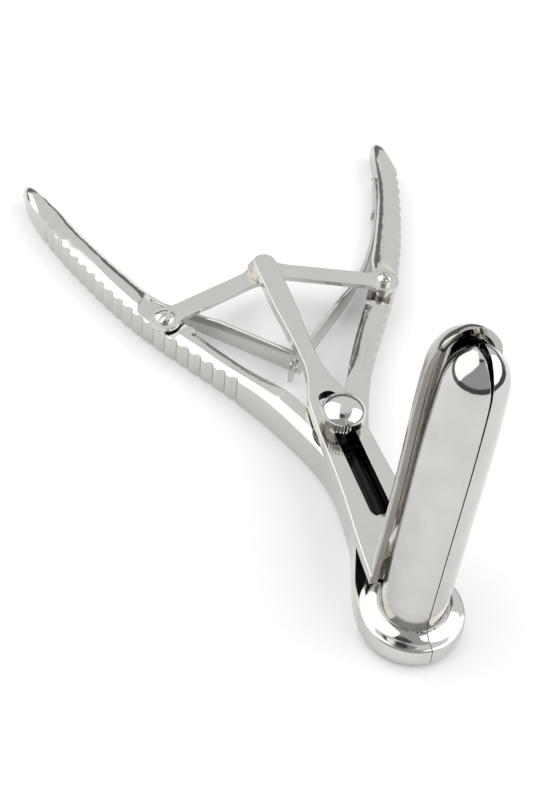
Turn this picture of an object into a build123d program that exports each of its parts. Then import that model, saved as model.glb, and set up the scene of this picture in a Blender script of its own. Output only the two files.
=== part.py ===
from build123d import *
from math import atan2, cos, degrees, pi, sin, sqrt
import os

os.makedirs("parts", exist_ok=True)

# Frame: millimetres, Z up, resting face of the instrument at Z = 0.
# The blades stand along +Z on the origin, the handles run along +Y, +X is the right handle.

# Heights of the stack, from the resting face up
HANDLE_TOP = 9.4
RECESS_FLOOR = 8.7
JAW_TOP = 11.6
LAP_SPLIT = 6.1
LAP_GAP = 0.05
LINK_T = 1.45
LEFT_LINK_Z = 9.5
RIGHT_LINK_Z = 11.0
BAR_Z = 12.5
BAR_T = 3.1
BAR_TOP = BAR_Z + BAR_T

# Pivot, links and travel
PIVOT_Y = 57.0
SCREW_X = 35.8
SCREW_Y = 114.8
PIN_Y = 128.5
STUD_R = 3.0
RUNNING_FIT = 0.05
EAR_R = 7.3
EAR_CLEARANCE = 0.3
SEAM_GAP = 0.1

# Handles: plan outline of the right lever, from the ring to the tip and back
OUTER_EDGE = [
    (13.3, 1.0),
    (12.7, 7.6),
    (10.4, 14.8),
    (7.5, 23.5),
    (6.4, 33.5),
    (6.5, 47.0),
    (10.3, 60.5),
    (18.0, 78.2),
    (29.5, 97.5),
    (43.0, 119.4),
    (53.6, 143.0),
    (61.0, 164.0),
    (64.4, 178.0),
    (65.6, 190.6),
]
TIP = (63.3, 194.2)
INNER_EDGE = [
    (60.3, 191.5),
    (58.1, 176.2),
    (51.2, 156.7),
    (40.2, 133.0),
    (28.6, 110.8),
    (17.3, 92.0),
    (9.6, 77.0),
    (6.4, 69.5),
]
NOSE_SPARE = 0.8
NOSE_L = 6.2
BEVEL_WIDTH = 3.0
BEVEL_DROP = 0.95
CREST_FLAT = 0.3
ROLL_DROP = 2.5
RIB_COUNT = 20
RIB_PITCH = 4.85
RIB_FIRST_Y = 168.5
RIB_CUTTER_R = 1.55
RIB_DEPTH = 0.85
RECESS_LOW = -6.8
RECESS_HIGH = 12.2
RECESS_OUTER = 3.3
RECESS_ARC = 3.5

# Ring flange and the two front blades
RING_R = 14.2
BORE_R = 7.35
SEAT_R = 8.75
SEAT_Z = 4.2
NECK_R = 9.0
NECK_Z = 9.2
BLADE_WALL = 1.3
BLADE_TIP_Z = 98.6
BLADE_DOME_H = 10.1
BLADE_DOME_R = 7.55
BLADE_TOP_R = 8.0
BLADE_MID_R = 8.35
BLADE_FOOT_R = 8.62
BLADE_FOOT_H = 4.6
BACK_OPENING = 5.2

# Third blade and its slotted bar
TROUGH_Y = 4.5
TROUGH_EDGE_Y = 5.7
TROUGH_WALL = 1.75
TROUGH_TIP_Z = 99.6
TROUGH_DOME_H = 11.6
TROUGH_DOME_R = 9.15
TROUGH_TOP_R = 9.4
TROUGH_MID_R = 9.75
TROUGH_FOOT_R = 10.15
BAR_END_R = 3.5
SLOT_HALF = STUD_R + 0.1
SLOT_LOW_Y = 26.2
SLOT_HIGH_Y = 67.0

# Links
LINK_W = 6.2
EYE_R = 4.8
PIN_EYE_R = 5.2
PIN_R = 1.8
SCREW_SHANK_R = 1.45
LEFT_HEAD = (3.1, 1.2)
RIGHT_HEAD = (2.6, 2.3)
LINK_FILLET = 8.0
BAR_RIM = 0.35
WASHER_R = 6.8
SPACER_R = 3.0
SCREW_HOLE_R = 1.2

# Thumb knob
KNOB_R = 6.4
KNOB_TEETH = 60
KNOB_NECK_R = 4.2
KNOB_NECK_H = 2.4
KNOB_SKIRT_H = 3.0
KNOB_DOME_H = 2.4
TOOTH_DEPTH = 0.32
THREAD_R = 2.2

# Leaf springs
SPRING_T = 1.2
SPRING_LOW = 1.2
SPRING_HIGH = 8.7
SPRING_SCREW = (50.4, 157.0)
SPRING_SCREW_Z = 3.4
SPRING_TAPER = [(112.0, SPRING_HIGH + 0.1), (136.0, 5.4), (185.0, 5.4)]
SPRING_SCREW_R = 1.1
SPRING_SCREW_L = 4.0
SPRING_HEAD = (1.9, 0.9)

# Side reach of the cutters drawn in side view
SIDE_REACH = 80.0


def cylinder_at(x, y, z0, z1, r):
    return Pos(x, y, z0) * Cylinder(r, z1 - z0, align=(Align.CENTER, Align.CENTER, Align.MIN))


def box_between(x0, x1, y0, y1, z0, z1):
    return Pos((x0 + x1) / 2, (y0 + y1) / 2, (z0 + z1) / 2) * Box(x1 - x0, y1 - y0, z1 - z0)


def plan_solid(edges, z0, z1):
    """A closed chain of plan edges raised from z0 to z1."""
    return Pos(0, 0, z0) * extrude(Face(Wire(edges)), z1 - z0)


def revolved(edges, centre_y=0.0):
    """A closed chain of edges in the XZ plane turned about the vertical through (0, centre_y)."""
    return Pos(0, centre_y, 0) * revolve(Face(Wire(edges)), Axis.Z)


def chain(points):
    """Straight edges through 2-D plan points."""
    return [Line(a, b) for a, b in zip(points, points[1:])]


def rz(points):
    """Radius and height pairs as points of the XZ plane."""
    return [(r, 0, z) for r, z in points]


# Levers

def outer_curve():
    return Spline(*OUTER_EDGE)


def inner_curve():
    return Spline(*INNER_EDGE, tangents=[(-0.1, -1), (-0.35, -1)])


def lever_plan():
    outer = outer_curve()
    inner = inner_curve()
    tip = ThreePointArc(OUTER_EDGE[-1], TIP, INNER_EDGE[0])
    crotch = PIVOT_Y + 3.0
    inside = chain([INNER_EDGE[-1], (1.8, crotch), (SEAM_GAP, crotch), (SEAM_GAP, OUTER_EDGE[0][1]), OUTER_EDGE[0]])
    return [outer, tip, inner] + inside


# Heights of the lever top along Y: (y, z) knots joined by smooth steps
TOP_KNOTS = [(0.0, 6.6), (5.0, 6.6), (34.0, JAW_TOP), (72.0, JAW_TOP), (98.0, HANDLE_TOP), (176.0, HANDLE_TOP), (188.0, 9.0)]


def lever_height(y):
    """Height of the lever top at a given Y."""
    if y <= TOP_KNOTS[0][0]:
        return TOP_KNOTS[0][1]
    for (y0, z0), (y1, z1) in zip(TOP_KNOTS, TOP_KNOTS[1:]):
        if y <= y1:
            u = (y - y0) / (y1 - y0)
            return z0 + (z1 - z0) * (3 * u * u - 2 * u * u * u)
    return TOP_KNOTS[-1][1]


def smooth_step(a, b):
    """Side-view edge between two (y, z) knots, level at both ends."""
    third = (b[0] - a[0]) / 3
    return Bezier((0, a[0], a[1]), (0, a[0] + third, a[1]), (0, b[0] - third, b[1]), (0, b[0], b[1]))


def lever_side():
    """Side profile that gives the lever its heights along Y."""
    edges = [smooth_step(a, b) if a[1] != b[1] else Line((0, *a), (0, *b)) for a, b in zip(TOP_KNOTS, TOP_KNOTS[1:])]
    end = TOP_KNOTS[-1]
    nose = (0, TIP[1] + NOSE_SPARE, HANDLE_TOP / 2)
    heel = (0, TIP[1] - NOSE_L, 0)
    edges.append(Spline((0, *end), nose, tangents=[(0, 1, 0), (0, 0, -1)]))
    edges.append(Spline(nose, heel, tangents=[(0, 0, -1), (0, -1, 0)]))
    edges.append(Line(heel, (0, 0, 0)))
    edges.append(Line((0, 0, 0), (0, *TOP_KNOTS[0])))
    return extrude(Face(Wire(edges)), SIDE_REACH, dir=(1, 0, 0))


def edge_cutter(curve, side, stations, upper):
    """Slanted cut along a plan curve: each station gives (u, width, drop) of the bevel left there."""
    sections = []
    for u, width, drop in stations:
        p = curve @ u
        t = curve % u
        nx, ny = side * t.Y, -side * t.X
        z = lever_height(p.Y) if upper else 0.0
        turn = 1.0 if upper else -1.0
        slope = drop / width
        spare = 0.4

        def at(n, dz):
            return (p.X + nx * n, p.Y + ny * n, z + turn * dz)
        corners = [at(-width - spare, spare * slope), at(1.0, -drop - slope), at(1.0, 1.6), at(-width - spare, 1.6)]
        sections.append(Face(Wire(chain(corners + corners[:1]))))
    return loft(sections)


def roll_cutter(curve, side, stations):
    """Rounded cut along a plan curve: each station gives (u, width, drop) of the rolled face left there."""
    sections = []
    for u, width, drop in stations:
        p = curve @ u
        t = curve % u
        nx, ny = side * t.Y, -side * t.X
        z = lever_height(p.Y)
        spare = 0.4

        def at(n, dz):
            return (p.X + nx * n, p.Y + ny * n, z + dz)
        first = at(-width - spare, 0.1)
        middle = at(-0.32 * width, -0.25 * drop)
        last = at(spare, -1.35 * drop)
        above = [last, at(spare, 1.6), at(-width - spare, 1.6), first]
        edges = [ThreePointArc(first, middle, last)] + chain(above)
        sections.append(Face(Wire(edges)))
    return loft(sections)


def roll_stations(count, y_high, y_low):
    """Even stations of the rolled inner face between two heights of Y, up to the crest beside the bevel."""
    inner, outer = inner_curve(), outer_curve()
    near = [outer @ (i / 200) for i in range(201)]
    ends = []
    for y in (y_high, y_low):
        ends.append(min((abs((inner @ (i / 400)).Y - y), i / 400) for i in range(401))[1])
    stations = []
    for i in range(count):
        u = ends[0] + (ends[1] - ends[0]) * i / (count - 1)
        p = inner @ u
        across = min(sqrt((p.X - q.X) ** 2 + (p.Y - q.Y) ** 2) for q in near)
        width = across - BEVEL_WIDTH - CREST_FLAT
        stations.append((u, width, min(ROLL_DROP, 0.7 * width)))
    return stations


# Rounded tip of the right lever: centre, half width, half height and middle height of its oval sections
TIP_OVALS = [
    (55.2, 158.0, 8.2, 8.6, 4.7),
    (59.4, 170.0, 6.0, 6.8, 4.7),
    (61.3, 178.0, 4.5, 5.5, 4.6),
    (62.8, 186.0, 3.5, 4.5, 4.5),
    (63.4, 191.0, 2.4, 3.2, 4.4),
    (63.5, 193.8, 1.1, 1.5, 4.3),
]
TIP_FROM_Y = 161.0


def tip_cutter():
    """All that lies outside the oval tip."""
    sections = []
    for (x, y, half_width, half_height, z), following in zip(TIP_OVALS, TIP_OVALS[1:] + TIP_OVALS[-1:]):
        ahead = Vector(following[0] - x, following[1] - y, 0)
        if ahead.length < 0.1:
            ahead = Vector(0.04, 1, 0)
        ahead = ahead.normalized()
        plane = Plane(origin=(x, y, z), x_dir=(ahead.Y, -ahead.X, 0), z_dir=ahead)
        sections.append(plane * Ellipse(half_width, half_height))
    block = box_between(TIP[0] / 2, SIDE_REACH, TIP_FROM_Y, 1.1 * TIP[1], -2, JAW_TOP + 2)
    return block - loft(sections)


def bevel_stations(count, first, last, fade):
    """Even stations of the long outer bevel, which rises out of the metal over the last stretch."""
    stations = []
    for i in range(count):
        u = first + (last - first) * i / (count - 1)
        keep = min(1.0, (last - u) / fade) - 0.06
        stations.append((u, BEVEL_WIDTH, BEVEL_DROP * keep))
    return stations


def short_stations(count, first, last, size):
    """Even stations of a small 45 degree edge break."""
    return [(first + (last - first) * i / (count - 1), size, size) for i in range(count)]


def rib_cutters():
    """Upright cutters that leave the ribs along the outer side of the handle."""
    curve = outer_curve()
    length = curve.length
    start = min((abs((curve @ (i / 400)).Y - RIB_FIRST_Y), i / 400) for i in range(401))[1]
    cutters = []
    for i in range(RIB_COUNT):
        u = start - i * RIB_PITCH / length
        p = curve @ u
        t = curve % u
        out = RIB_CUTTER_R - RIB_DEPTH
        cutters.append(cylinder_at(p.X + t.Y * out, p.Y - t.X * out, -1, JAW_TOP + 1, RIB_CUTTER_R))
    return cutters


HANDLE_DIR = (0.46, 0.888)


def recess_cutter():
    """Shallow pocket in the handle top for the link eye, open to the inner side, with a curved far end."""
    def at(t, n):
        return (SCREW_X + HANDLE_DIR[0] * t + HANDLE_DIR[1] * n, SCREW_Y + HANDLE_DIR[1] * t - HANDLE_DIR[0] * n)
    inner = -3 * RECESS_OUTER
    corners = [at(RECESS_HIGH - 1, inner), at(RECESS_LOW, inner), at(RECESS_LOW, RECESS_OUTER),
               at(RECESS_HIGH - RECESS_ARC, RECESS_OUTER)]
    lip = ThreePointArc(corners[-1], at(RECESS_HIGH, -1), corners[0])
    return plan_solid(chain(corners) + [lip], RECESS_FLOOR, JAW_TOP + 1)


def ring_body():
    """Flange ring: flat foot, bulged side, dished top that rises to the neck of the blades."""
    top = rz([(13.0, 7.0), (11.4, 7.35), (10.0, 8.1), (NECK_R, NECK_Z)])
    side = rz([(13.2, 0), (14.1, 1.8), (RING_R, 3.8), (13.9, 5.9), (13.0, 7.0)])
    edges = [
        Line((BORE_R, 0, 0), side[0]),
        Spline(*side, tangents=[(0.7, 0, 1), (-1, 0, 0.35)]),
        Spline(*top, tangents=[(-1, 0, 0.15), (-0.35, 0, 1)]),
        Line(top[-1], (BORE_R, 0, NECK_Z)),
        Line((BORE_R, 0, NECK_Z), (BORE_R, 0, 0)),
    ]
    return revolved(edges)


def right_lever_blank():
    body = plan_solid(lever_plan(), 0, JAW_TOP + 1) & lever_side()
    outer, inner = outer_curve(), inner_curve()
    body -= edge_cutter(outer, 1, bevel_stations(13, 0.24, 0.9, 0.09), True)
    body -= edge_cutter(outer, 1, short_stations(12, 0.08, 0.96, 1.0), False)
    body -= edge_cutter(inner, 1, short_stations(12, 0.02, 0.95, 0.7), False)
    body -= roll_cutter(inner, 1, roll_stations(9, 186.0, SCREW_Y + HANDLE_DIR[1] * RECESS_HIGH))
    body -= roll_cutter(inner, 1, roll_stations(6, SCREW_Y + HANDLE_DIR[1] * RECESS_LOW, 76.0))
    body -= tip_cutter()
    return body


def right_half():
    body = right_lever_blank()
    for cutter in rib_cutters():
        body -= cutter
    body -= recess_cutter()
    half = ring_body() & box_between(SEAM_GAP, 40, -40, 40, -1, 40)
    body += half
    body -= cylinder_at(0, 0, -1, 30, BORE_R)
    body -= cylinder_at(0, 0, SEAT_Z, 30, SEAT_R)
    body -= cylinder_at(SCREW_X, SCREW_Y, 4.0, 20, SCREW_HOLE_R)
    body -= spring_screw_plane() * cylinder_at(0, 0, -SPRING_SCREW_L - 0.2, 0, SPRING_SCREW_R + 0.02)
    return body


def ear_and_pocket(body, z0, z1, head):
    """Cuts the pocket for the other ear, then adds this lever's own ear round the pivot."""
    low, high = (0.0, LAP_SPLIT + LAP_GAP) if z0 > 1 else (LAP_SPLIT - LAP_GAP, 20)
    body -= cylinder_at(0, PIVOT_Y, low - 1 if z0 > 1 else low, high, EAR_R + EAR_CLEARANCE)
    body += cylinder_at(0, PIVOT_Y, z0, z1, EAR_R)
    body -= cylinder_at(0, PIVOT_Y, -1, 20, STUD_R + RUNNING_FIT)
    if head:
        body -= Pos(0, PIVOT_Y, 0.25) * Cone(5.1, STUD_R, 2.1, align=(Align.CENTER, Align.CENTER, Align.MIN))
        body -= cylinder_at(0, PIVOT_Y, -1, 0.26, 5.1)
    return body


def levers():
    blank = right_half()
    right = ear_and_pocket(blank, LAP_SPLIT + LAP_GAP, JAW_TOP, False)
    left = ear_and_pocket(mirror(blank, Plane.YZ), 0.2, LAP_SPLIT - LAP_GAP, True)
    return left, right


# Blades

def tube_edges(side_radii, side_z, dome_r, dome_h, tip_z, wall):
    """Nearly straight side and domed end of a blade, moved inwards by wall."""
    shoulder = tip_z - dome_h
    side = rz([(r - wall, z) for r, z in zip(side_radii, side_z)] + [(dome_r - wall, shoulder)])
    dome = rz([
        (dome_r - wall, shoulder),
        (0.82 * dome_r - 0.85 * wall, tip_z - 0.45 * dome_h - 0.35 * wall),
        (0.45 * dome_r - 0.4 * wall, tip_z - 0.11 * dome_h - 0.82 * wall),
        (0, tip_z - wall),
    ])
    return side[0], [
        Spline(*side, tangents=[(-0.01, 0, 1), (-0.06, 0, 1)]),
        Spline(*dome, tangents=[(-0.06, 0, 1), (-1, 0, 0)]),
    ]


def blade_edges(wall):
    """Section of the front tube, or of its cavity when wall is more than zero."""
    foot_z = NECK_Z + BLADE_FOOT_H
    shoulder = BLADE_TIP_Z - BLADE_DOME_H
    heights = [foot_z, (foot_z + shoulder) / 2, shoulder - BLADE_DOME_H]
    first, edges = tube_edges((BLADE_FOOT_R, BLADE_MID_R, BLADE_TOP_R), heights, BLADE_DOME_R, BLADE_DOME_H,
                              BLADE_TIP_Z, wall)
    if wall > 0:
        corner = (BORE_R, 0, NECK_Z - 0.2)
        base = (0, 0, SEAT_Z - 1)
        start = [Line(base, (BORE_R, 0, SEAT_Z - 1)), Line((BORE_R, 0, SEAT_Z - 1), corner), Line(corner, first)]
    else:
        neck = (NECK_R - 0.02, 0, NECK_Z)
        base = (0, 0, SEAT_Z)
        start = [Line(base, (SEAT_R, 0, SEAT_Z)), Line((SEAT_R, 0, SEAT_Z), (SEAT_R, 0, NECK_Z)),
                 Line((SEAT_R, 0, NECK_Z), neck), Spline(neck, first, tangents=[(-0.25, 0, 1), (-0.02, 0, 1)])]
    return start + edges + [Line((0, 0, BLADE_TIP_Z - wall), base)]


def front_blades():
    tube = revolved(blade_edges(0)) - revolved(blade_edges(BLADE_WALL))
    reach = 4 * NECK_R
    keep = Pos(SEAM_GAP, -NECK_R, 0) * Rot(0, 0, -BACK_OPENING) * box_between(0, reach, -reach, reach, 0, BLADE_TIP_Z + 1)
    right = tube & keep
    return mirror(right, Plane.YZ), right


def trough_edges(wall):
    low = BAR_Z - (1 if wall > 0 else 0)
    shoulder = TROUGH_TIP_Z - TROUGH_DOME_H
    heights = [low, low + 0.24 * (shoulder - low), low + 0.63 * (shoulder - low)]
    first, edges = tube_edges((TROUGH_FOOT_R, TROUGH_MID_R, TROUGH_TOP_R), heights, TROUGH_DOME_R, TROUGH_DOME_H,
                              TROUGH_TIP_Z, wall)
    base = (0, 0, low)
    return [Line(base, first)] + edges + [Line((0, 0, TROUGH_TIP_Z - wall), base)]


def trough_blank():
    return revolved(trough_edges(0), TROUGH_Y)


def middle_blade():
    shell = trough_blank() - revolved(trough_edges(TROUGH_WALL), TROUGH_Y)
    reach = 4 * TROUGH_FOOT_R
    return shell & box_between(-reach, reach, TROUGH_EDGE_Y, reach, 0, TROUGH_TIP_Z + 1)


# Slotted bar, from the blade to the rounded handle end
BAR_SIDE = [
    (10.5, TROUGH_EDGE_Y),
    (9.7, 17.7),
    (8.35, 31.0),
    (7.5, 45.0),
    (6.9, 58.5),
    (5.9, 68.5),
]
BAR_SHOULDER = [
    (5.9, 68.5),
    (3.6, 76.0),
    (2.55, 84.0),
]
BAR_ARM = [
    (2.55, 84.0),
    (2.75, 94.0),
    (3.3, 106.0),
    (3.5, 120.0),
]


def slotted_bar():
    def half(points, sign):
        return [(sign * x, y) for x, y in points]
    edges = []
    for sign in (1, -1):
        edges.append(Spline(*half(BAR_SIDE, sign), tangents=[(-sign * 0.05, 1), (-sign * 0.14, 1)]))
        edges.append(Spline(*half(BAR_SHOULDER, sign), tangents=[(-sign * 0.3, 1), (0, 1)]))
        edges.append(Spline(*half(BAR_ARM, sign), tangents=[(0, 1), (0, 1)]))
        edges.append(Line((sign * BAR_END_R, 120.0), (sign * BAR_END_R, PIN_Y)))
    edges.append(ThreePointArc((BAR_END_R, PIN_Y), (0, PIN_Y + BAR_END_R), (-BAR_END_R, PIN_Y)))
    edges.append(Line((10.5, TROUGH_EDGE_Y), (-10.5, TROUGH_EDGE_Y)))
    bar = plan_solid(edges, BAR_Z, BAR_TOP)
    rim = [e for e in bar.edges() if abs((e @ 0.5).Z - BAR_TOP) < 0.01 and (e @ 0.5).Y > TROUGH_EDGE_Y + 0.5]
    bar = fillet(rim, BAR_RIM)
    slot = plan_solid([
        Line((SLOT_HALF, SLOT_LOW_Y), (SLOT_HALF, SLOT_HIGH_Y)),
        ThreePointArc((SLOT_HALF, SLOT_HIGH_Y), (0, SLOT_HIGH_Y + SLOT_HALF), (-SLOT_HALF, SLOT_HIGH_Y)),
        Line((-SLOT_HALF, SLOT_HIGH_Y), (-SLOT_HALF, SLOT_LOW_Y)),
        ThreePointArc((-SLOT_HALF, SLOT_LOW_Y), (0, SLOT_LOW_Y - SLOT_HALF), (SLOT_HALF, SLOT_LOW_Y)),
    ], BAR_Z - 1, BAR_TOP + 1)
    bar = bar - slot - trough_blank()
    return bar - cylinder_at(0, PIN_Y, BAR_Z - 1, BAR_TOP - 0.8, PIN_R)


# Pivot stud, washer and thumb knob

def pivot_stud():
    stud = Pos(0, PIVOT_Y, 0.3) * Cone(5.0, STUD_R, 2.0, align=(Align.CENTER, Align.CENTER, Align.MIN))
    stud += cylinder_at(0, PIVOT_Y, 0.3, BAR_TOP - 0.1, STUD_R)
    stud += cylinder_at(0, PIVOT_Y, BAR_TOP - 0.1, BAR_TOP + KNOB_NECK_H + 2.4, THREAD_R)
    return stud


def pivot_washer():
    return cylinder_at(0, PIVOT_Y, JAW_TOP, BAR_Z - RUNNING_FIT, WASHER_R) - cylinder_at(0, PIVOT_Y, 0, 20, STUD_R + RUNNING_FIT)


def thumb_knob():
    z0 = BAR_TOP + RUNNING_FIT
    z1 = z0 + KNOB_NECK_H
    z2 = z1 + KNOB_SKIRT_H
    step = pi / KNOB_TEETH
    rim = []
    for i in range(2 * KNOB_TEETH):
        r = KNOB_R if i % 2 == 0 else KNOB_R - TOOTH_DEPTH
        rim.append((r * cos(i * step), PIVOT_Y + r * sin(i * step)))
    skirt = plan_solid(chain(rim + rim[:1]), z1, z2)
    dome_r = KNOB_R - TOOTH_DEPTH - 0.02
    section = [
        Line((0, 0, z0), (KNOB_NECK_R, 0, z0)),
        Line((KNOB_NECK_R, 0, z0), (KNOB_NECK_R, 0, z1)),
        Line((KNOB_NECK_R, 0, z1), (dome_r, 0, z1)),
        Line((dome_r, 0, z1), (dome_r, 0, z2)),
        Spline((dome_r, 0, z2), (0.7 * dome_r, 0, z2 + 0.62 * KNOB_DOME_H), (0, 0, z2 + KNOB_DOME_H), tangents=[(-0.35, 0, 1), (-1, 0, 0)]),
        Line((0, 0, z2 + KNOB_DOME_H), (0, 0, z0)),
    ]
    knob = revolved(section, PIVOT_Y) + skirt
    return knob - cylinder_at(0, PIVOT_Y, z0 - 1, BAR_TOP + KNOB_NECK_H + 2.6, THREAD_R + RUNNING_FIT)


# Links and their fasteners

def link(sign, z0):
    """Flat link from the bar-end pin to the handle screw, wider round both eyes."""
    sx, sy = sign * SCREW_X, SCREW_Y
    dx, dy = sx, sy - PIN_Y
    length = sqrt(dx * dx + dy * dy)
    angle = degrees(atan2(dy, dx))
    arm = Pos(dx / 2, PIN_Y + dy / 2, z0 + LINK_T / 2) * Rot(0, 0, angle) * Box(length, LINK_W, LINK_T)
    body = arm + cylinder_at(sx, sy, z0, z0 + LINK_T, EYE_R)
    body += cylinder_at(0, PIN_Y, z0, z0 + LINK_T, PIN_EYE_R)
    corners = []
    for e in body.edges():
        a, b = e @ 0.0, e @ 1.0
        if abs(a.X - b.X) < 0.01 and abs(a.Y - b.Y) < 0.01 and abs(a.Z - b.Z) > 1:
            corners.append(e)
    body = fillet(corners, LINK_FILLET)
    body -= cylinder_at(sx, sy, z0 - 1, z0 + 5, SCREW_SHANK_R + 0.02)
    return body - cylinder_at(0, PIN_Y, z0 - 1, z0 + 5, PIN_R + RUNNING_FIT)


def bar_end_pin():
    pin = cylinder_at(0, PIN_Y, LEFT_LINK_Z - 0.1, BAR_TOP - 0.8, PIN_R)
    return pin - cylinder_at(0, PIN_Y, 0, LEFT_LINK_Z + 2.6, 0.9)


def pan_head(x, y, z0, r, h, slot_angle):
    """Low domed screw head with a driver slot."""
    section = [
        Line((0, 0, z0), (r, 0, z0)),
        Line((r, 0, z0), (r, 0, z0 + 0.45 * h)),
        ThreePointArc((r, 0, z0 + 0.45 * h), (0.68 * r, 0, z0 + 0.88 * h), (0, 0, z0 + h)),
        Line((0, 0, z0 + h), (0, 0, z0)),
    ]
    head = Pos(x, y, 0) * revolve(Face(Wire(section)), Axis.Z)
    return head - Pos(x, y, z0 + h) * Rot(0, 0, slot_angle) * Box(3 * r, 0.6, h)


def bar_end_screw():
    z1 = LEFT_LINK_Z - 0.1
    head = Pos(0, PIN_Y, 0) * Rot(180, 0, 0) * pan_head(0, 0, -z1, 3.4, 1.5, 20)
    return head + cylinder_at(0, PIN_Y, z1 - 0.2, z1 + 2.4, 0.88)


def link_screw(sign, z0, head_size, slot_angle):
    x, y = sign * SCREW_X, SCREW_Y
    head = pan_head(x, y, z0 + LINK_T, *head_size, slot_angle)
    return head + cylinder_at(x, y, z0, z0 + LINK_T, SCREW_SHANK_R)


def spacer(sign, z1):
    x, y = sign * SCREW_X, SCREW_Y
    return cylinder_at(x, y, RECESS_FLOOR, z1, SPACER_R) - cylinder_at(x, y, 0, 20, SCREW_HOLE_R + 0.1)


# Leaf springs
SPRING_PATH = [
    (57.5, 177.0),
    (54.7, 168.5),
    (50.4, 157.0),
    (45.3, 146.0),
    (39.4, 136.0),
    (31.0, 124.3),
    (22.3, 114.8),
    (13.0, 105.6),
    (4.0, 96.6),
]


def spring(sign, end, z_low, z_high):
    path = [(sign * x, y) for x, y in SPRING_PATH] + [end]
    curve = Spline(*path)
    start = curve @ 0
    t = curve % 0
    section = Plane(origin=start, x_dir=(-t.Y, t.X, 0), z_dir=t) * Rectangle(SPRING_T, z_high - z_low)
    return Pos(0, 0, (z_low + z_high) / 2) * sweep(section, path=curve)


def spring_screw_plane():
    """Plane on the middle of the spring at its screw, facing away from the handle."""
    t = Vector(0.385, 0.923, 0).normalized()
    return Plane(origin=(SPRING_SCREW[0], SPRING_SCREW[1], SPRING_SCREW_Z), x_dir=t, z_dir=Vector(-t.Y, t.X, 0))


def taper_cutter():
    """What the strip loses above, where it narrows towards its screwed end."""
    top = 3 * SPRING_HIGH
    outline = SPRING_TAPER + [(SPRING_TAPER[-1][0], top), (SPRING_TAPER[0][0], top), SPRING_TAPER[0]]
    return extrude(Face(Wire(chain([(0, y, z) for y, z in outline]))), SIDE_REACH, dir=(1, 0, 0))


def spring_with_hole(end):
    hole = spring_screw_plane() * Cylinder(SPRING_SCREW_R + 0.1, 3.0)
    return spring(1, end, SPRING_LOW, SPRING_HIGH) - hole - taper_cutter()


def left_spring():
    blade = mirror(spring_with_hole((-1.2, 91.6)), Plane.YZ)
    fork = Pos(0.6, 92.0, 5.0) * Rot(0, 0, -45) * Box(5.0, 6.0, 3.6)
    return blade - fork


def right_spring():
    blade = spring_with_hole((-3.6, 88.8))
    neck = Pos(0.2, 92.6, 0) * Rot(0, 0, 45)
    blade -= neck * box_between(-3.6, 3.4, -4, 4, 6.6, 12)
    blade -= neck * box_between(-3.6, 3.4, -4, 4, -2, 3.4)
    return blade


def spring_screw(sign):
    """Screw through the spring into the inner side of the handle."""
    face = SPRING_T / 2 + 0.03
    head_r, head_h = SPRING_HEAD
    head = cylinder_at(0, 0, face, face + head_h, head_r)
    shank = cylinder_at(0, 0, -SPRING_SCREW_L, face, SPRING_SCREW_R)
    slot = Pos(0, 0, face + head_h) * Box(3 * head_r, 0.5, 0.8)
    body = spring_screw_plane() * (head + shank - slot)
    return body if sign > 0 else mirror(body, Plane.YZ)


def main():
    left_lever, right_lever = levers()
    left_blade, right_blade = front_blades()
    parts = {
        "left_lever": left_lever,
        "right_lever": right_lever,
        "left_front_blade": left_blade,
        "right_front_blade": right_blade,
        "middle_blade": middle_blade(),
        "slotted_bar": slotted_bar(),
        "pivot_stud": pivot_stud(),
        "pivot_washer": pivot_washer(),
        "thumb_knob": thumb_knob(),
        "left_link": link(-1, LEFT_LINK_Z),
        "right_link": link(1, RIGHT_LINK_Z),
        "bar_end_pin": bar_end_pin(),
        "bar_end_screw": bar_end_screw(),
        "left_link_screw": link_screw(-1, LEFT_LINK_Z, LEFT_HEAD, 35),
        "right_link_screw": link_screw(1, RIGHT_LINK_Z, RIGHT_HEAD, 100),
        "left_link_washer": spacer(-1, LEFT_LINK_Z),
        "right_link_spacer": spacer(1, RIGHT_LINK_Z),
        "left_spring": left_spring(),
        "right_spring": right_spring(),
        "left_spring_screw": spring_screw(-1),
        "right_spring_screw": spring_screw(1),
    }
    for name, shape in parts.items():
        solids = shape.solids()
        print(name, len(solids), round(sum(s.volume for s in solids), 1))
        export_step(shape, "parts/" + name + ".step")


if __name__ == "__main__":
    main()
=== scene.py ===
# %% [markdown]
# # A three-blade rectal speculum in polished stainless steel
#
# The instrument is all metal: two forged levers that end in half rings, three slim
# blades that stand upright, a slotted bar, two links, a thumb knob, screws and leaf
# springs. The rigid pieces come from the CAD frame, with their true edges and holes.
# Blender gives them their finish, draws the levers' lips, turns a knob with a crisp
# knurl and models the springs. The scene ends with a small photo studio, because
# polished steel shows little of its own: almost all that the eye sees on it is a
# reflection.

# %% Load the imported model
import bpy
import math
from mathutils import Matrix, Vector


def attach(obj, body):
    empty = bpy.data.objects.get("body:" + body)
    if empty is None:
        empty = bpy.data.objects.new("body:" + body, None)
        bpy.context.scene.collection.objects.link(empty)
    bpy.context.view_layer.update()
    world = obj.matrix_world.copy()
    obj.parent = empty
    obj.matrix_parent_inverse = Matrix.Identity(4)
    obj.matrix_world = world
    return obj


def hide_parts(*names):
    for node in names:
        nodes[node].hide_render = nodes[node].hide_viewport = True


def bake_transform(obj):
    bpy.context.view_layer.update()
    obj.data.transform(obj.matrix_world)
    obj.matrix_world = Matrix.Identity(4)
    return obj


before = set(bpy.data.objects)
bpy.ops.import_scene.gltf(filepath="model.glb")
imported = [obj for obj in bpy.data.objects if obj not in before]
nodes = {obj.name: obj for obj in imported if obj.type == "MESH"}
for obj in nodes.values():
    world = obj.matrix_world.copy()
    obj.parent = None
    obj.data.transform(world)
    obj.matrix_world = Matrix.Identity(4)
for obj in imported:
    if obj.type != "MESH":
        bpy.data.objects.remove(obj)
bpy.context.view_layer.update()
MM = 0.001

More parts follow.
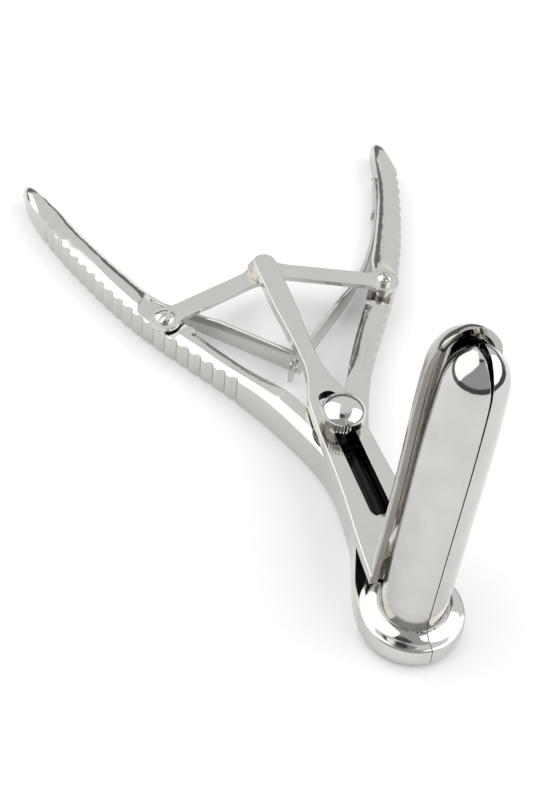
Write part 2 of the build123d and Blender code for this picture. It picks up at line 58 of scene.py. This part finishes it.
# %% [markdown]
# ## The camera
#
# A product photograph such as this one is taken from above the blades, looking back
# along the handles. The place and the three angles are measured in the part's own
# frame, so the camera is set from its axes: right, up and backwards.

# %% Camera at the photograph's angle
CAMERA_PLACE = Vector((-113.28, -162.04, 277.74)) * MM
CAMERA_YAW = math.radians(22.32)
CAMERA_PITCH = math.radians(45.99)
CAMERA_ROLL = math.radians(6.63)
CAMERA_LENS = 57.73
CAMERA_SHIFT = (0.0065, -0.0057)


def camera_axes():
    """Right, up and backward directions of the camera."""
    ahead = Vector((
        math.sin(CAMERA_YAW) * math.cos(CAMERA_PITCH),
        math.cos(CAMERA_YAW) * math.cos(CAMERA_PITCH),
        -math.sin(CAMERA_PITCH),
    ))
    level = Vector((math.cos(CAMERA_YAW), -math.sin(CAMERA_YAW), 0))
    above = level.cross(ahead)
    right = math.cos(CAMERA_ROLL) * level + math.sin(CAMERA_ROLL) * above
    up = -math.sin(CAMERA_ROLL) * level + math.cos(CAMERA_ROLL) * above
    return right, up, -ahead


axes = Matrix(camera_axes()).transposed()
bpy.ops.object.camera_add(location=CAMERA_PLACE, rotation=axes.to_euler())
camera = bpy.context.object
camera.data.lens = CAMERA_LENS
camera.data.shift_x, camera.data.shift_y = CAMERA_SHIFT
bpy.context.scene.camera = camera
print("camera looks down at", round(math.degrees(CAMERA_PITCH), 1), "degrees")

# %% [markdown]
# ## Small helpers
#
# Colours are written as the sRGB hex code that a paint program shows, and one function
# turns them into the linear numbers that Blender mixes. One more function adds a shader
# node with its settings and links, so that each material reads as a short list. Two sums
# that come back often, a product and a soft step, have names of their own.

# %% Helpers for colours and nodes


def hex_colour(code):
    """Linear colour of an sRGB hex code."""
    parts = [int(code[i:i + 2], 16) / 255 for i in (0, 2, 4)]
    linear = [c / 12.92 if c <= 0.04045 else ((c + 0.055) / 1.055) ** 2.4 for c in parts]
    return (*linear, 1.0)


def add(tree, kind, settings=None, links=None):
    """A node with properties or input values set by name, and inputs linked to other nodes' outputs."""
    node = tree.nodes.new(kind)
    for name, value in (settings or {}).items():
        if isinstance(name, str) and hasattr(node, name):
            setattr(node, name, value)
        else:
            node.inputs[name].default_value = value
    for name, source in (links or {}).items():
        tree.links.new(source, node.inputs[name])
    return node


def product(tree, first, second):
    """Two values multiplied."""
    return add(tree, "ShaderNodeMath", {"operation": "MULTIPLY"}, {0: first, 1: second}).outputs[0]


def soft_step(tree, value, start, end, low=0.0, high=1.0):
    """A soft step from low to high while the value goes from start to end."""
    step = {"interpolation_type": "SMOOTHSTEP", "From Min": start, "From Max": end}
    step.update({"To Min": low, "To Max": high})
    return add(tree, "ShaderNodeMapRange", step, {"Value": value}).outputs[0]


def select_only(*objects):
    """Selects these objects alone and makes the first one active."""
    bpy.ops.object.select_all(action="DESELECT")
    for item in objects:
        item.select_set(True)
    bpy.context.view_layer.objects.active = objects[0]


def empty_material(name):
    """A material with no nodes yet."""
    material = bpy.data.materials.new(name)
    material.use_nodes = True
    material.node_tree.nodes.clear()
    return material


# %% [markdown]
# ## Stainless steel and its finishes
#
# Every piece is austenitic stainless steel, but not every face was finished alike. The
# ring, the blade tips and the knob are buffed to a mirror. The flat faces of the levers,
# links and bar were ground on a belt and then lightly polished, which leaves fine
# scratches along the piece and a soft reflection. The springs are rolled strip.
#
# One function builds all of them: what changes is how rough the surface is, how deep its
# grinding lines are, along which axis they run and how much its edges are worn. It could
# be one material with the roughness painted on, but a formula in real millimetres stays
# right when a piece is changed. The same function paints shade: the lever's top under the
# slot and the slot's walls are painted near-black in a box, and the washer under the slot
# gets near-black tones, as painted shade for narrow places that little light reaches.

# %% Steel material
STEEL_TONES = ("CAC8C4", "D3D1CD")
BLADE_TONES = ("BCB9B6", "D3D1CE")
TROUGH_TONES = ("A9A6A2", "BCB9B5")
# painted shade: near-black tones for the washer under the slot, where only shade is seen
WASHER_PAINTED_SHADE_TONES = ("1D1B1A", "2A2927")
# painted shade: near-black for what lies under the slot and for the slot's walls
PAINTED_SHADE_COLOUR = "2A2927"
LINE_SPACING = 0.25 * MM
LINE_LENGTH = 9 * MM
CLOUD_SIZE = 9 * MM
EDGE_WEAR = 0.22 * MM
KNURL_WEAR = 0.02 * MM
NOISE_MIDDLE = (0.3, 0.7)
# axis, start, end and roughness of the buffed zones: the ring, and the blades' tips
RING_POLISH = (1, 66 * MM, 40 * MM, 0.06)
TIP_POLISH = (2, 80 * MM, 88 * MM, 0.05)
# corners in millimetres of the places painted near-black as shade: what lies under the bar's slot, and the
# slot's walls
UNDER_SLOT = ((-3.4, 20.0, 10.9), (3.4, 72.0, 12.0))
SLOT_WALLS = ((-3.4, 20.0, 12.0), (3.4, 70.4, 15.48))


def grinding_lines(tree, place, along):
    """Noise stretched along one axis, as the lines that a belt leaves, drawn coarser than real ones."""
    size = [1 / LINE_SPACING] * 3
    size[along] = 1 / LINE_LENGTH
    stretched = add(tree, "ShaderNodeMapping", {"Scale": size}, {"Vector": place}).outputs[0]
    return add(tree, "ShaderNodeTexNoise", {"Scale": 1.0, "Detail": 2.0}, {"Vector": stretched}).outputs["Fac"]


def inside_box(tree, place, low, high):
    """1 inside a box given by two corners in millimetres, 0 outside it."""
    split = add(tree, "ShaderNodeSeparateXYZ", {}, {0: place})
    inside = None
    for axis in range(3):
        middle, half = (low[axis] + high[axis]) / 2 * MM, (high[axis] - low[axis]) / 2 * MM
        compare = {"operation": "COMPARE", 1: middle, 2: half}
        near = add(tree, "ShaderNodeMath", compare, {0: split.outputs[axis]}).outputs[0]
        inside = near if inside is None else product(tree, inside, near)
    return inside


def steel(name, rough, spread, line_depth, along=1, polish=None, gap=None, tones=STEEL_TONES, wear=EDGE_WEAR):
    """Stainless steel with grinding lines along one axis.

    polish is (axis, start, end, roughness): past its end the surface is buffed to that
    roughness. gap is a box, and what lies in it is painted near-black as shade.
    """
    material = empty_material(name)
    tree = material.node_tree
    place = add(tree, "ShaderNodeTexCoord").outputs["Object"]
    cloud_noise = {"Scale": 1 / CLOUD_SIZE, "Detail": 3.0}
    clouds = add(tree, "ShaderNodeTexNoise", cloud_noise, {"Vector": place}).outputs["Fac"]
    lines = grinding_lines(tree, place, along)
    deep, pale = hex_colour(tones[0]), hex_colour(tones[1])
    colour = add(tree, "ShaderNodeMix", {"data_type": "RGBA", 6: deep, 7: pale}, {"Factor": clouds}).outputs[2]
    half_clouds = add(tree, "ShaderNodeMath", {"operation": "MULTIPLY", 1: 0.5}, {0: clouds}).outputs[0]
    half_lines_more = {"operation": "MULTIPLY_ADD", 1: 0.5}
    grain = add(tree, "ShaderNodeMath", half_lines_more, {0: lines, 2: half_clouds}).outputs[0]
    low, high = NOISE_MIDDLE
    span = {"From Min": low, "From Max": high, "To Min": rough - spread, "To Max": rough + spread}
    roughness = add(tree, "ShaderNodeMapRange", span, {"Value": grain}).outputs[0]
    worn = add(tree, "ShaderNodeBevel", {"samples": 4, "Radius": wear}).outputs[0]
    relief = {"Strength": 1.0, "Distance": line_depth}
    bump = add(tree, "ShaderNodeBump", relief, {"Height": lines, "Normal": worn})
    if polish:
        axis, start, end, mirror = polish
        split = add(tree, "ShaderNodeSeparateXYZ", {}, {0: place})
        share = soft_step(tree, split.outputs[axis], start, end)
        buffed = {"data_type": "FLOAT", 3: mirror}
        roughness = add(tree, "ShaderNodeMix", buffed, {"Factor": share, 2: roughness}).outputs[0]
        fade = add(tree, "ShaderNodeMath", {"operation": "SUBTRACT", 0: 1.0}, {1: share})
        tree.links.new(fade.outputs[0], bump.inputs["Strength"])
    # painted shade: inside the gap box the colour is painted near-black
    if gap:
        dark = {"data_type": "RGBA", 7: hex_colour(PAINTED_SHADE_COLOUR)}
        inside = inside_box(tree, place, *gap)
        colour = add(tree, "ShaderNodeMix", dark, {"Factor": inside, 6: colour}).outputs[2]
    look = {"Base Color": colour, "Roughness": roughness, "Normal": bump.outputs[0]}
    surface = add(tree, "ShaderNodeBsdfPrincipled", {"Metallic": 1.0}, look)
    add(tree, "ShaderNodeOutputMaterial", {}, {"Surface": surface.outputs[0]})
    return material


# %% The finishes
# painted shade on the lever's top under the slot
lever_steel = steel("ground stainless steel, buffed ring", 0.13, 0.02, 0.0004 * MM, polish=RING_POLISH,
                    gap=UNDER_SLOT)
flat_steel = steel("ground stainless steel flats", 0.17, 0.03, 0.0005 * MM)
link_steel = steel("ground stainless steel links", 0.17, 0.03, 0.0005 * MM, along=0)
# painted shade on the slot's walls
plate_steel = steel("ground stainless steel plate", 0.13, 0.02, 0.0004 * MM, gap=SLOT_WALLS)
blade_steel = steel("satin polished blades, buffed tips", 0.13, 0.02, 0.0003 * MM, along=2, polish=TIP_POLISH,
                    tones=BLADE_TONES)
trough_steel = steel("mirror polished blade", 0.06, 0.02, 0.0003 * MM, along=2, tones=TROUGH_TONES)
mirror_steel = steel("mirror polished turned steel", 0.06, 0.01, 0.0002 * MM, along=2)
knob_steel = steel("turned and knurled nut", 0.08, 0.02, 0.0003 * MM, along=2, wear=KNURL_WEAR)
# painted shade: the washer under the slot is painted near-black
painted_shade_washer_steel = steel("washer painted near-black as shade", 0.3, 0.03, 0.0004 * MM, tones=WASHER_PAINTED_SHADE_TONES)
strip_steel = steel("rolled spring strip", 0.16, 0.03, 0.0004 * MM)
print("finishes made:", len(bpy.data.materials))

# %% Finish of each CAD piece
FINISH = {
    "left_lever": lever_steel,
    "right_lever": lever_steel,
    "left_front_blade": blade_steel,
    "right_front_blade": blade_steel,
    "middle_blade": trough_steel,
    "slotted_bar": plate_steel,
    "pivot_stud": flat_steel,
    # painted shade on the washer seen through the slot
    "pivot_washer": painted_shade_washer_steel,
    "thumb_knob": mirror_steel,
    "left_link": link_steel,
    "right_link": link_steel,
    "bar_end_pin": flat_steel,
    "bar_end_screw": mirror_steel,
    "left_link_screw": mirror_steel,
    "right_link_screw": mirror_steel,
    "left_link_washer": flat_steel,
    "right_link_spacer": flat_steel,
    "left_spring_screw": mirror_steel,
    "right_spring_screw": mirror_steel,
}
for node_name, finish in FINISH.items():
    piece = nodes[node_name]
    piece.data.materials.clear()
    piece.data.materials.append(finish)
print("dressed nodes:", len(FINISH))

# %% [markdown]
# ## The thumb knob
#
# The knob is a turned nut with a domed head and a straight knurl. It could be a cylinder
# with grooves cut into it, but a flat grid rolled round the axis gives the whole turned
# form at once: each row of the grid becomes one ring of the profile. Every fourth column
# is drawn in over the skirt for the knurl's grooves, and they run out over the dome's
# rim, as a real knurl does.

# %% Turned and knurled knob
# in millimetres; the neck and the skirt are (radius, height)
KNOB_AXIS = 57.0
KNOB_NECK = (4.2, 2.4)
KNOB_SKIRT = (6.38, 2.5)
KNOB_FOOT_GAP = 0.01
KNOB_BULGE = 0.8
# radius, height above the neck, share of the knurl
KNOB_SHOULDER = [(5.7, 0.0, 0), (6.2, 0.1, 1), (6.38, 0.25, 1)]
KNOB_TEETH = 44
TOOTH_DEEP = 0.5
TOOTH_FORM = (0, 0.5, 1, 0.5)
DOME_RINGS = 24
DOME_FULLNESS = 0.9
KNURL_FADE = 0.3
KNOB_WELD = 0.001 * MM
KNOB_CREASE = math.radians(25)


def knob_profile(low, high):
    """Rings (radius, height, share of the knurl) from the knob's foot to its crown, in millimetres."""
    (neck, neck_height), (skirt, skirt_height) = KNOB_NECK, KNOB_SKIRT
    foot = low + neck_height
    top = foot + skirt_height
    rings = [(0, low, 0), (neck, low, 0), (neck, foot, 0)]
    rings += [(radius, foot + rise, knurl) for radius, rise, knurl in KNOB_SHOULDER] + [(skirt, top, 1)]
    for i in range(1, DOME_RINGS + 1):
        turn = math.pi / 2 * i / DOME_RINGS
        radius = skirt * math.cos(turn) ** DOME_FULLNESS
        rings.append((radius, top + (high - top) * math.sin(turn), max(0, 1 - KNURL_FADE * i)))
    return rings


def turned_knob():
    """The knob as a grid rolled round its axis."""
    heights = [corner[2] / MM for corner in nodes["thumb_knob"].bound_box]
    rings = knob_profile(min(heights) + KNOB_FOOT_GAP, max(heights) + KNOB_BULGE)
    columns = len(TOOTH_FORM) * KNOB_TEETH
    bpy.ops.object.select_all(action="DESELECT")
    bpy.ops.mesh.primitive_grid_add(x_subdivisions=columns, y_subdivisions=len(rings) - 1, size=2)
    knob = bpy.context.object
    knob.name = "knurled_knob"
    for vertex in knob.data.vertices:
        column = round((vertex.co.x + 1) / 2 * columns)
        radius, height, knurl = rings[round((vertex.co.y + 1) / 2 * (len(rings) - 1))]
        radius -= knurl * TOOTH_DEEP * TOOTH_FORM[column % len(TOOTH_FORM)]
        turn = 2 * math.pi * column / columns
        vertex.co = (radius * math.cos(turn) * MM, (KNOB_AXIS + radius * math.sin(turn)) * MM, height * MM)
    bpy.ops.object.mode_set(mode="EDIT")
    bpy.ops.mesh.select_all(action="SELECT")
    bpy.ops.mesh.remove_doubles(threshold=KNOB_WELD)
    bpy.ops.mesh.normals_make_consistent(inside=False)
    bpy.ops.object.mode_set(mode="OBJECT")
    bpy.ops.object.shade_smooth_by_angle(angle=KNOB_CREASE)
    knob.data.materials.append(knob_steel)
    print(knob.name, "faces:", len(knob.data.polygons))
    return knob


knurled_knob = turned_knob()
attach(knurled_knob, "knob")
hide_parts("thumb_knob")

# %% [markdown]
# ## The levers' rolled inner sides
#
# A forged handle is not cut off square towards the inside: it rolls over, and on the left
# lever its lip covers the spring that lies below it. The CAD solid has the plain form.
# Here a copy of each lever's mesh is welded into one skin and given a row of points half
# way up its wall. The lip above that row is drawn inwards, far on the left lever and a
# little on the right one, and the small ledge where the roll starts is raised to a ramp.
# The same could be sculpted by hand, but a few lengths along the edge are easier to set
# right. Normals weighted by face size are a usual remedy for uneven shine on such a mesh.
# They are applied here, but the shine along the roll stays uneven.

# %% Draw the lips over the springs
# plan of the right lever's inner edge, from the tip to the pivot; lengths without MM are millimetres
INNER_EDGE = [
    (60.3, 191.5), (58.1, 176.2), (51.2, 156.7), (40.2, 133.0), (28.6, 110.8), (17.3, 92.0), (9.6, 77.0),
]
LIP_FROM, LIP_TO = 126.5, 187.0
LIP_FADE = (4.0, 16.0)
LIP_WIDTH = 6.0
LIP_OUT = {"left_lever": 2.3, "right_lever": 0.6}
LIP_ROOT = 5.0
LIP_ROOT_GAP = 0.05
LIP_DROP = 0.5
RAMP_FROM, RAMP_TO = 75.0, 92.0
ROLL_DEEP = 3.0
# Y and height of the lever's top
TOP_KNOTS = [(34.0, 11.6), (72.0, 11.6), (98.0, 9.4), (176.0, 9.4), (188.0, 9.0)]
LEVER_WELD = 0.002 * MM
LEVER_CREASE = math.radians(15.5)


def smooth(share):
    """A share from 0 to 1 with a soft start and end."""
    share = min(1.0, max(0.0, share))
    return share * share * (3 - 2 * share)


def inner_distance(x, y):
    """How far a plan point of the right lever lies outside its inner edge, and the way towards the inside."""
    best = None
    for (x0, y0), (x1, y1) in zip(INNER_EDGE, INNER_EDGE[1:]):
        run = Vector((x1 - x0, y1 - y0))
        share = min(1.0, max(0.0, (Vector((x - x0, y - y0)) @ run) / run.length_squared))
        near = Vector((x0, y0)) + share * run
        gap = (Vector((x, y)) - near).length
        if best is None or gap < best[0]:
            best = (gap, Vector((run.y, -run.x)).normalized())
    return best


def lever_top(y):
    """Height of the lever's top at Y, both in millimetres."""
    for (y0, z0), (y1, z1) in zip(TOP_KNOTS, TOP_KNOTS[1:]):
        if y <= y1:
            return z0 + (z1 - z0) * smooth((y - y0) / (y1 - y0))
    return TOP_KNOTS[-1][1]


def forged_lever(node_name, side):
    """A welded copy of a lever with its lip drawn out over the spring and its ledge raised to a ramp."""
    select_only(nodes[node_name])
    bpy.ops.object.duplicate()
    lever = bpy.context.object
    lever.name = node_name + "_forged"
    bpy.ops.mesh.customdata_custom_splitnormals_clear()
    bpy.ops.object.mode_set(mode="EDIT")
    bpy.ops.mesh.select_all(action="SELECT")
    bpy.ops.mesh.remove_doubles(threshold=LEVER_WELD)
    bpy.ops.mesh.bisect(plane_co=(0, 0, LIP_ROOT * MM), plane_no=(0, 0, 1))
    bpy.ops.object.mode_set(mode="OBJECT")
    moved = 0
    for vertex in lever.data.vertices:
        x, y, z = side * vertex.co.x / MM, vertex.co.y / MM, vertex.co.z / MM
        gap, inwards = inner_distance(x, y)
        if gap > LIP_WIDTH:
            continue
        if RAMP_FROM < y < RAMP_TO and z > lever_top(y) - ROLL_DEEP:
            ramp = 1 - smooth((y - RAMP_FROM) / (RAMP_TO - RAMP_FROM))
            vertex.co.z += ramp * (lever_top(y) - z) * MM
            moved += 1
        if LIP_FROM < y < LIP_TO and z > LIP_ROOT + LIP_ROOT_GAP:
            ends = smooth((y - LIP_FROM) / LIP_FADE[0]) * smooth((LIP_TO - y) / LIP_FADE[1])
            share = ends * (1 - gap / LIP_WIDTH)
            vertex.co.x += side * inwards.x * share * LIP_OUT[node_name] * MM
            vertex.co.y += inwards.y * share * LIP_OUT[node_name] * MM
            vertex.co.z -= share * LIP_DROP * MM
            moved += 1
    select_only(lever)
    bpy.ops.object.shade_smooth_by_angle(angle=LEVER_CREASE)
    bpy.ops.object.modifier_add(type="WEIGHTED_NORMAL")
    weighting = lever.modifiers[-1]
    weighting.keep_sharp = True
    bpy.ops.object.modifier_apply(modifier=weighting.name)
    print(lever.name, "points drawn:", moved)
    return lever


for node_name, side, body in (("left_lever", -1, "left_arm"), ("right_lever", 1, "right_arm")):
    lever = forged_lever(node_name, side)
    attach(lever, body)
    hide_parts(node_name)

# %% [markdown]
# ## The leaf springs
#
# Two bent strips of spring steel push the handles apart. Each is screwed to the inner
# side of its handle near the tip and runs to the middle, where a tongue on the right
# strip rests in a fork on the left one. Such a strip is cut and rounded while it is flat
# and bent last, and so is the model: a long flat bar gets its end form, its edges are
# broken, and a Curve modifier lays it along its path.

# %% Spring sizes and path
SPRING_THICK = 1.2 * MM
SPRING_LOW, SPRING_HIGH = 1.2 * MM, 8.7 * MM
SPRING_MID = (SPRING_LOW + SPRING_HIGH) / 2
SPRING_PATH = [
    (57.5, 177.0), (54.7, 168.5), (50.4, 157.0), (45.3, 146.0), (39.4, 136.0),
    (31.0, 124.3), (22.3, 114.8), (13.0, 105.6), (4.0, 96.6),
]
SPRING_ENDS = {"left_spring": (-1.2, 91.6), "right_spring": (-3.6, 88.8)}
# the path goes on past both ends of the strip, so that the Curve modifier doesn't twist them
SPRING_LEAD = 3.0 * MM
PATH_STEPS = 16
END_ROUND, END_STEPS = 1.7 * MM, 8
BEND_LINES = 70
FORK_HIGH, FORK_DEEP = 3.6 * MM, 3.3 * MM
TONGUE_HIGH, TONGUE_LONG, TONGUE_HEAD = 3.2 * MM, 8.8 * MM, 1.8 * MM
# top of the strip's screwed part, and where along the strip it rises to full height
TAPER_TOP = 4.9 * MM
TAPER_FROM, TAPER_TO = 56 * MM, 76 * MM
EDGE_BREAK, EDGE_STEPS = 0.18 * MM, 2
EDGE_CREASE, STRIP_CREASE = math.radians(40), math.radians(35)


def spring_curve(name, side):
    """Smooth line along the strip's middle, from its screwed end to its free end, and the strip's length."""
    points = [Vector(p) for p in SPRING_PATH + [SPRING_ENDS[name]]]
    before = points[0] + (points[0] - points[1]).normalized() * SPRING_LEAD / MM
    after = points[-1] + (points[-1] - points[-2]).normalized() * SPRING_LEAD / MM
    points = [(side * point.x, point.y) for point in [before, *points, after]]
    data = bpy.data.curves.new(name + "_path", "CURVE")
    data.dimensions = "2D"
    data.resolution_u = PATH_STEPS
    line = data.splines.new("BEZIER")
    line.bezier_points.add(len(points) - 1)
    for knot, (x, y) in zip(line.bezier_points, points):
        knot.co = (x * MM, y * MM, 0)
        knot.handle_left_type = knot.handle_right_type = "AUTO"
    curve = bpy.data.objects.new(name + "_path", data)
    bpy.context.collection.objects.link(curve)
    return curve, line.calc_length() - 2 * SPRING_LEAD


def cut_away(piece, low, high):
    """Takes a box between two corners out of a piece."""
    centre = (Vector(low) + Vector(high)) / 2
    bpy.ops.mesh.primitive_cube_add(size=1, location=centre, scale=Vector(high) - Vector(low))
    cutter = bpy.context.object
    select_only(piece)
    bpy.ops.object.modifier_add(type="BOOLEAN")
    cut = piece.modifiers[-1]
    cut.object = cutter
    bpy.ops.object.modifier_apply(modifier=cut.name)
    bpy.data.objects.remove(cutter)


def flat_strip(name, length):
    """The strip before bending, along X, with cross lines where it will bend and a rounded screwed end."""
    bpy.ops.object.select_all(action="DESELECT")
    bpy.ops.mesh.primitive_cube_add(size=1, location=(length / 2, 0, SPRING_MID),
                                    scale=(length, SPRING_THICK, SPRING_HIGH - SPRING_LOW))
    strip = bpy.context.object
    strip.name = name
    bpy.ops.object.transform_apply(location=True, rotation=True, scale=True)
    bpy.ops.object.mode_set(mode="EDIT")
    bpy.ops.mesh.select_all(action="DESELECT")
    bpy.ops.object.mode_set(mode="OBJECT")
    for edge in strip.data.edges:
        ends = [strip.data.vertices[v].co for v in edge.vertices]
        edge.select = all(p.x < length / 2 for p in ends) and abs(ends[0].y - ends[1].y) > SPRING_THICK / 2
    bpy.ops.object.mode_set(mode="EDIT")
    bpy.ops.mesh.bevel(offset=END_ROUND, segments=END_STEPS)
    for i in range(1, BEND_LINES):
        bpy.ops.mesh.select_all(action="SELECT")
        bpy.ops.mesh.bisect(plane_co=(length * i / BEND_LINES, 0, 0), plane_no=(1, 0, 0))
    bpy.ops.object.mode_set(mode="OBJECT")
    return strip


def bend_along(piece, curve):
    """Lays a piece that was modelled along X on a curve."""
    select_only(piece)
    piece.location.x = SPRING_LEAD
    bpy.ops.object.transform_apply(location=True, rotation=False, scale=False)
    bpy.ops.object.modifier_add(type="CURVE")
    bend = piece.modifiers[-1]
    bend.object = curve
    bend.deform_axis = "POS_X"
    bpy.ops.object.modifier_apply(modifier=bend.name)
    bpy.data.objects.remove(curve)


def lower_top(strip):
    """Brings the upper half of the strip down over its screwed part, with a straight rise to full height."""
    for vertex in strip.data.vertices:
        if vertex.co.z > SPRING_MID:
            share = min(1.0, max(0.0, (vertex.co.x - TAPER_FROM) / (TAPER_TO - TAPER_FROM)))
            vertex.co.z += (1 - share) * (TAPER_TOP - SPRING_HIGH)


def leaf_spring(name, side):
    """One whole spring: the left one with its fork, the right one with its tongue."""
    curve, length = spring_curve(name, side)
    strip = flat_strip(name + "_leaf", length)
    lower_top(strip)
    out = SPRING_THICK
    if name == "left_spring":
        fork_low, fork_high = SPRING_MID - FORK_HIGH / 2, SPRING_MID + FORK_HIGH / 2
        cut_away(strip, (length - FORK_DEEP, -out, fork_low), (length + out, out, fork_high))
    else:
        neck, head = length - TONGUE_LONG, length - TONGUE_HEAD
        cut_away(strip, (neck, -out, SPRING_MID + TONGUE_HIGH / 2), (head, out, SPRING_HIGH + out))
        cut_away(strip, (neck, -out, SPRING_LOW - out), (head, out, SPRING_MID - TONGUE_HIGH / 2))
    select_only(strip)
    bpy.ops.object.modifier_add(type="BEVEL")
    edge_break = strip.modifiers[-1]
    edge_break.width = EDGE_BREAK
    edge_break.segments = EDGE_STEPS
    edge_break.angle_limit = EDGE_CREASE
    bpy.ops.object.modifier_apply(modifier=edge_break.name)
    bend_along(strip, curve)
    bpy.ops.object.shade_smooth_by_angle(angle=STRIP_CREASE)
    strip.data.materials.clear()
    strip.data.materials.append(strip_steel)
    return strip


# %% Make both springs
for name, side, body in (("left_spring", -1, "left_arm"), ("right_spring", 1, "right_arm")):
    spring = leaf_spring(name, side)
    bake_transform(spring)
    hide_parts(name)
    print(spring.name, "faces:", len(spring.data.polygons), [round(v * 1000, 1) for v in spring.dimensions])

# %% [markdown]
# ## The studio
#
# Steel is lit by what surrounds it. The instrument lies on a white sweep in a cloth tent
# whose back wall is bright and whose front is grey. Two large softboxes hang in it, to the
# left and to the right about forty degrees up, and give the white patches on the ring, the
# knob and the blade tips. The tent's foot is a dark gap, and a small dark spot high above
# stands for the camera's arm: these two draw the dark lines and blobs without which
# polished steel looks like plaster. Lamps could light the scene too, but they would leave
# small hot points on it, and a panel or a wall leaves the broad shapes of a real studio.

# %% Floor
FLOOR_HALF = 0.75
FLOOR_Z = -0.05 * MM
FLOOR_MIDDLE_Y = 0.1
FLOOR_LIFT = 0.06


def floor_material():
    """White sweep: it takes soft shadows, and shows as pure white where nothing shades it."""
    material = empty_material("white sweep")
    tree = material.node_tree
    path = add(tree, "ShaderNodeLightPath").outputs
    seen = path["Is Camera Ray"]
    for ray in ("Is Glossy Ray", "Is Transmission Ray"):
        seen = add(tree, "ShaderNodeMath", {"operation": "MAXIMUM"}, {0: seen, 1: path[ray]}).outputs[0]
    lift = add(tree, "ShaderNodeMath", {"operation": "MULTIPLY", 1: FLOOR_LIFT}, {0: seen})
    paper = add(tree, "ShaderNodeBsdfDiffuse", {"Color": hex_colour("F2F2F2")})
    glow = add(tree, "ShaderNodeEmission", {"Color": hex_colour("FFFFFF")}, {"Strength": lift.outputs[0]})
    both = add(tree, "ShaderNodeAddShader", {}, {0: paper.outputs[0], 1: glow.outputs[0]})
    add(tree, "ShaderNodeOutputMaterial", {}, {"Surface": both.outputs[0]})
    return material


bpy.ops.object.select_all(action="DESELECT")
bpy.ops.mesh.primitive_plane_add(size=2 * FLOOR_HALF, location=(0, FLOOR_MIDDLE_Y, FLOOR_Z))
floor = bpy.context.object
floor.name = "floor"
floor.data.materials.append(floor_material())
print(floor.name, "is", 2 * FLOOR_HALF, "m across")

# %% Softboxes
# name: compass angle from +X and height angle of its middle, in degrees, distance and size in metres, strength
SOFTBOX_AIM = Vector((0, 0.06, 0))
SOFTBOXES = {
    "left_softbox": (150, 44, 1.0, (1.7, 1.45), 1.75),
    "right_softbox": (-26, 39, 1.0, (1.3, 1.0), 2.1),
}


def softbox(name, compass, height, distance, size, strength):
    """A glowing panel that faces the instrument."""
    compass, height = math.radians(compass), math.radians(height)
    flat = math.cos(height)
    away = Vector((math.cos(compass) * flat, math.sin(compass) * flat, math.sin(height)))
    turn = (-away).to_track_quat("-Z", "Y").to_euler()
    bpy.ops.mesh.primitive_plane_add(size=1, location=SOFTBOX_AIM + distance * away, rotation=turn)
    panel = bpy.context.object
    panel.name = name
    panel.scale = (*size, 1)
    material = empty_material(name + " cloth")
    tree = material.node_tree
    glow = add(tree, "ShaderNodeEmission", {"Strength": strength})
    add(tree, "ShaderNodeOutputMaterial", {}, {"Surface": glow.outputs[0]})
    panel.data.materials.append(material)
    panel.visible_camera = False


for name, (compass, height, distance, size, strength) in SOFTBOXES.items():
    softbox(name, compass, height, distance, size, strength)
    print(name, "is", size, "m, strength", strength)

# %% The tent
TENT_FRONT, TENT_BACK = 0.464, 0.896
WALL_TURN = 0.12
# the gap's level, its soft upper edge, and how much higher it reaches at the back
GAP_LEVEL, GAP_EDGE, GAP_RISE = 0.22, (0.08, 0.14), 0.26
# the dark spot's level, its soft edge as cosines, and its direction
SPOT_LEVEL, SPOT_EDGE, SPOT_DIRECTION = 0.2, (0.972, 0.985), (-0.155, -0.185, 0.970)


def tent():
    """World light: bright walls behind, grey ones in front, a dark gap low down, white for the camera."""
    world = bpy.data.worlds.new("white tent")
    bpy.context.scene.world = world
    world.use_nodes = True
    tree = world.node_tree
    tree.nodes.clear()
    direction = add(tree, "ShaderNodeTexCoord").outputs["Generated"]
    split = add(tree, "ShaderNodeSeparateXYZ", {}, {0: direction})
    wall = soft_step(tree, split.outputs[1], -WALL_TURN, WALL_TURN, TENT_FRONT, TENT_BACK)
    behind = add(tree, "ShaderNodeMath", {"operation": "MAXIMUM", 1: 0.0}, {0: split.outputs[1]}).outputs[0]
    rise = {"operation": "MULTIPLY_ADD", 1: -GAP_RISE}
    above = add(tree, "ShaderNodeMath", rise, {0: behind, 2: split.outputs[2]}).outputs[0]
    gap = soft_step(tree, above, *GAP_EDGE, GAP_LEVEL, 1.0)
    compare = {"operation": "DOT_PRODUCT", 1: SPOT_DIRECTION}
    towards = add(tree, "ShaderNodeVectorMath", compare, {0: direction}).outputs["Value"]
    spot = soft_step(tree, towards, *SPOT_EDGE, 1.0, SPOT_LEVEL)
    level = product(tree, product(tree, wall, gap), spot)
    seen = add(tree, "ShaderNodeLightPath").outputs["Is Camera Ray"]
    light = add(tree, "ShaderNodeMix", {"data_type": "FLOAT", 3: 1.0}, {"Factor": seen, 2: level})
    glow = add(tree, "ShaderNodeBackground", {"Color": hex_colour("FFFFFF")}, {"Strength": light.outputs[0]})
    add(tree, "ShaderNodeOutputWorld", {}, {"Surface": glow.outputs[0]})


tent()
bpy.context.scene.view_settings.view_transform = "Standard"
print("tent is", TENT_FRONT, "bright in front and", TENT_BACK, "behind")
